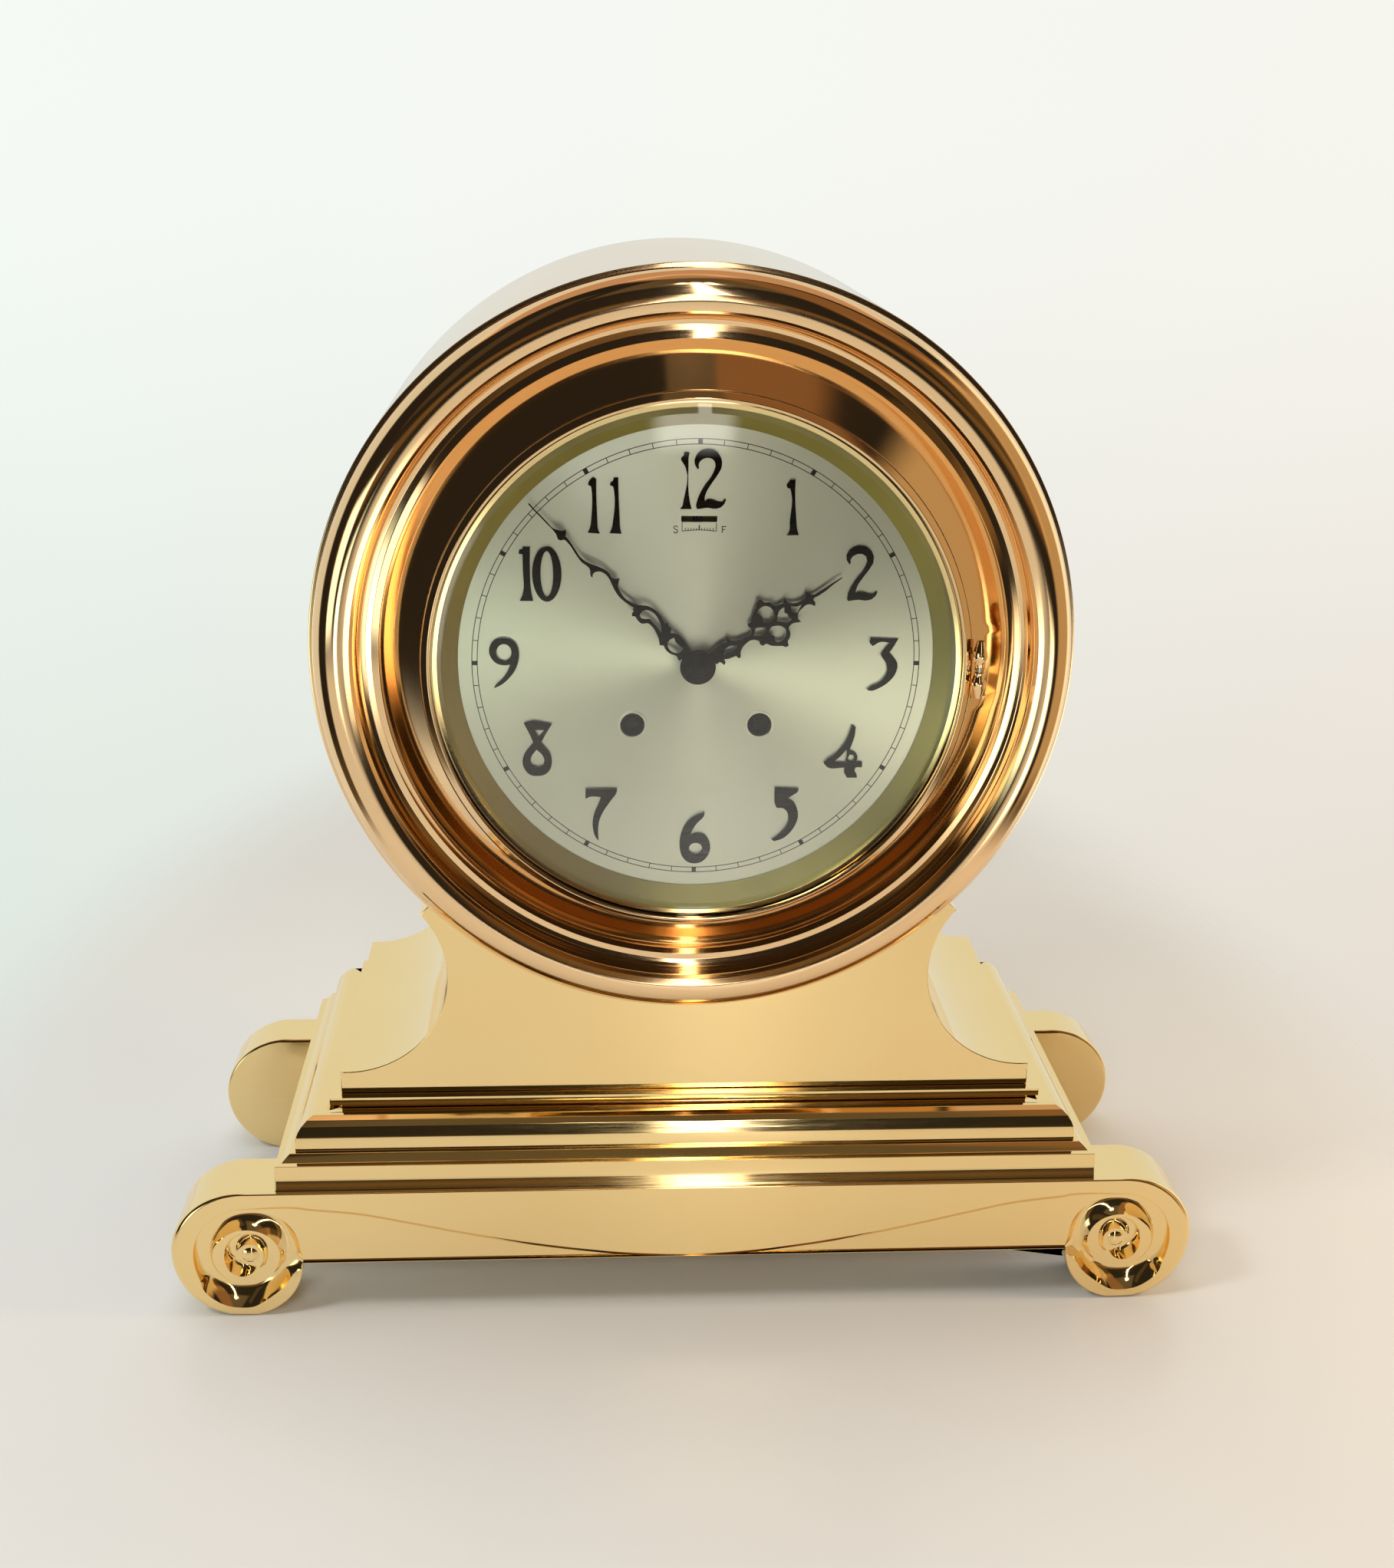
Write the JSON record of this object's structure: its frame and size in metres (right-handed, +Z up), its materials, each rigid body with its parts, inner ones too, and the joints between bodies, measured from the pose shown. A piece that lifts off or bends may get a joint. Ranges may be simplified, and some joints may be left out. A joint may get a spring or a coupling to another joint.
{
  "type": "pedestal clock",
  "caption": "Round drum clock in a saddle on a moulded plinth and scroll-footed rails, with a hinged glass bezel, pierced hands and a spring-driven striking movement.",
  "frame": {"origin": "on the floor, under the middle of the clock's box", "axes": "+X to the clock's right hand side as seen from the front, +Y to its back, +Z up"},
  "size_m": [0.5086, 0.2007, 0.508],
  "materials": {
    "lacquered_brass": "satin lacquered brass, cast and polished",
    "rosy_bronze": "polished bronze, turned",
    "silvered_brass": "silvered brass, circular grained",
    "olive_gilt": "matt gilding",
    "bronzed_steel": "dark bronzed steel, pierced",
    "movement_brass": "grained movement brass",
    "polished_steel": "polished steel",
    "blued_spring_steel": "blued spring steel",
    "bell_bronze": "turned bell metal",
    "plate_glass": "bevelled plate glass"
  },
  "bodies": {
    "case": {"front_scroll_rail": "lacquered_brass", "rear_scroll_rail": "lacquered_brass", "base_plinth": "lacquered_brass", "saddle": "lacquered_brass", "rail_bolt_1": "polished_steel", "rail_bolt_2": "polished_steel", "rail_bolt_3": "polished_steel", "rail_bolt_4": "polished_steel", "saddle_bolt_1": "polished_steel", "saddle_bolt_2": "polished_steel", "case_bolt_1": "polished_steel", "case_bolt_2": "polished_steel", "drum_case": "rosy_bronze", "front_ring": "rosy_bronze", "back_cover": "rosy_bronze", "cover_screw_1": "lacquered_brass", "cover_screw_2": "lacquered_brass", "cover_screw_3": "lacquered_brass", "cover_screw_4": "lacquered_brass", "reflector_ring": "olive_gilt", "dial": "silvered_brass", "bezel_hinge_leaf": "rosy_bronze", "bezel_hinge_pin": "polished_steel", "movement_seat": "movement_brass", "front_plate": "movement_brass", "back_plate": "movement_brass", "bell": "bell_bronze", "bell_post": "polished_steel", "bell_nut": "lacquered_brass", "balance_cock": "movement_brass", "hairspring": "blued_spring_steel"},
    "bezel_door": {"glass_bezel": "rosy_bronze", "bevelled_glass": "plate_glass", "glass_retainer": "lacquered_brass", "bezel_hinge_knuckle": "rosy_bronze"},
    "minute_arbor": {"centre_arbor": "polished_steel", "cannon_pinion": "polished_steel", "minute_hand": "bronzed_steel", "hand_nut": "bronzed_steel"},
    "hour_arbor": {"hour_wheel": "movement_brass", "hour_hand": "bronzed_steel"},
    "minute_wheel_arbor": {"minute_wheel": "movement_brass"},
    "second_arbor": {"second_wheel": "movement_brass"},
    "third_arbor": {"third_wheel": "movement_brass"},
    "time_barrel_drum": {"time_barrel": "movement_brass", "time_barrel_lid": "movement_brass", "time_mainspring": "blued_spring_steel"},
    "strike_barrel_drum": {"strike_barrel": "movement_brass", "strike_barrel_lid": "movement_brass", "strike_mainspring": "blued_spring_steel"},
    "time_winder": {"time_winding_arbor": "polished_steel"},
    "strike_winder": {"strike_winding_arbor": "polished_steel"},
    "time_click_lever": {"time_click": "polished_steel"},
    "strike_click_lever": {"strike_click": "polished_steel"},
    "escape_arbor": {"escape_wheel": "movement_brass"},
    "pallet_arbor": {"pallet_lever": "polished_steel"},
    "balance": {"balance_wheel": "movement_brass"},
    "regulator": {"regulator_lever": "bronzed_steel"},
    "pin_wheel_arbor": {"strike_pin_wheel": "movement_brass"},
    "hammer_arbor": {"hammer": "polished_steel"}
  },
  "joints": [
    {"name": "bezel_hinge", "type": "hinge", "parent": "case", "child": "bezel_door", "pos_m": [0.1276, -0.097, 0.3317], "axis": [0, 0, 1], "range_deg": [0, 115]},
    {"name": "minute_turn", "type": "hinge", "parent": "case", "child": "minute_arbor", "pos_m": [0, -0.0844, 0.3317], "axis": [0, 1, 0], "continuous": true},
    {"name": "hour_turn", "type": "hinge", "parent": "case", "child": "hour_arbor", "pos_m": [0, -0.0844, 0.3317], "axis": [0, 1, 0], "continuous": true},
    {"name": "minute_wheel_turn", "type": "hinge", "parent": "case", "child": "minute_wheel_arbor", "pos_m": [-0.016, -0.0844, 0.3317], "axis": [0, 1, 0], "continuous": true},
    {"name": "second_wheel_turn", "type": "hinge", "parent": "case", "child": "second_arbor", "pos_m": [0.02387, -0.0844, 0.33978], "axis": [0, 1, 0], "continuous": true},
    {"name": "third_wheel_turn", "type": "hinge", "parent": "case", "child": "third_arbor", "pos_m": [0.00498, -0.0844, 0.3564], "axis": [0, 1, 0], "continuous": true},
    {"name": "time_barrel_turn", "type": "hinge", "parent": "case", "child": "time_barrel_drum", "pos_m": [0.0292, -0.0844, 0.30235], "axis": [0, 1, 0], "continuous": true},
    {"name": "strike_barrel_turn", "type": "hinge", "parent": "case", "child": "strike_barrel_drum", "pos_m": [-0.0292, -0.0844, 0.30235], "axis": [0, 1, 0], "continuous": true},
    {"name": "pin_wheel_turn", "type": "hinge", "parent": "case", "child": "pin_wheel_arbor", "pos_m": [-0.02387, -0.0844, 0.33978], "axis": [0, 1, 0], "continuous": true},
    {"name": "time_winding", "type": "hinge", "parent": "case", "child": "time_winder", "pos_m": [0.0292, -0.0844, 0.30235], "axis": [0, 1, 0], "continuous": true},
    {"name": "strike_winding", "type": "hinge", "parent": "case", "child": "strike_winder", "pos_m": [-0.0292, -0.0844, 0.30235], "axis": [0, 1, 0], "continuous": true},
    {"name": "time_click_swing", "type": "hinge", "parent": "case", "child": "time_click_lever", "pos_m": [0.0437, -0.0844, 0.31435], "axis": [0, 1, 0], "range_deg": [0, 12], "stiffness_Nm_per_rad": 0.01},
    {"name": "strike_click_swing", "type": "hinge", "parent": "case", "child": "strike_click_lever", "pos_m": [-0.0437, -0.0844, 0.31435], "axis": [0, -1, 0], "range_deg": [0, 12], "stiffness_Nm_per_rad": 0.01},
    {"name": "escape_turn", "type": "hinge", "parent": "case", "child": "escape_arbor", "pos_m": [-0.008, -0.0844, 0.37415], "axis": [0, 1, 0], "continuous": true},
    {"name": "pallet_rock", "type": "hinge", "parent": "case", "child": "pallet_arbor", "pos_m": [0.0037, -0.0844, 0.3767], "axis": [0, 1, 0], "range_deg": [-3, 3]},
    {"name": "balance_swing", "type": "hinge", "parent": "case", "child": "balance", "pos_m": [0.0174, -0.0844, 0.3797], "axis": [0, 1, 0], "range_deg": [-120, 120], "stiffness_Nm_per_rad": 0.0002},
    {"name": "regulator_swing", "type": "hinge", "parent": "case", "child": "regulator", "pos_m": [0, -0.0844, 0.3517], "axis": [0, 1, 0], "range_deg": [-8, 8]},
    {"name": "hammer_swing", "type": "hinge", "parent": "case", "child": "hammer_arbor", "pos_m": [-0.056, -0.0844, 0.3677], "axis": [0, 1, 0], "range_deg": [-3, 15], "stiffness_Nm_per_rad": 1}
  ],
  "couplings": [
    {"joint": "hour_turn", "follows": "minute_turn", "ratio": 0.083333},
    {"joint": "minute_wheel_turn", "follows": "minute_turn", "ratio": -0.33333},
    {"joint": "second_wheel_turn", "follows": "minute_turn", "ratio": -0.25},
    {"joint": "time_barrel_turn", "follows": "minute_turn", "ratio": 0.05},
    {"joint": "third_wheel_turn", "follows": "minute_turn", "ratio": -5},
    {"joint": "pin_wheel_turn", "follows": "strike_barrel_turn", "ratio": -5}
  ]
}
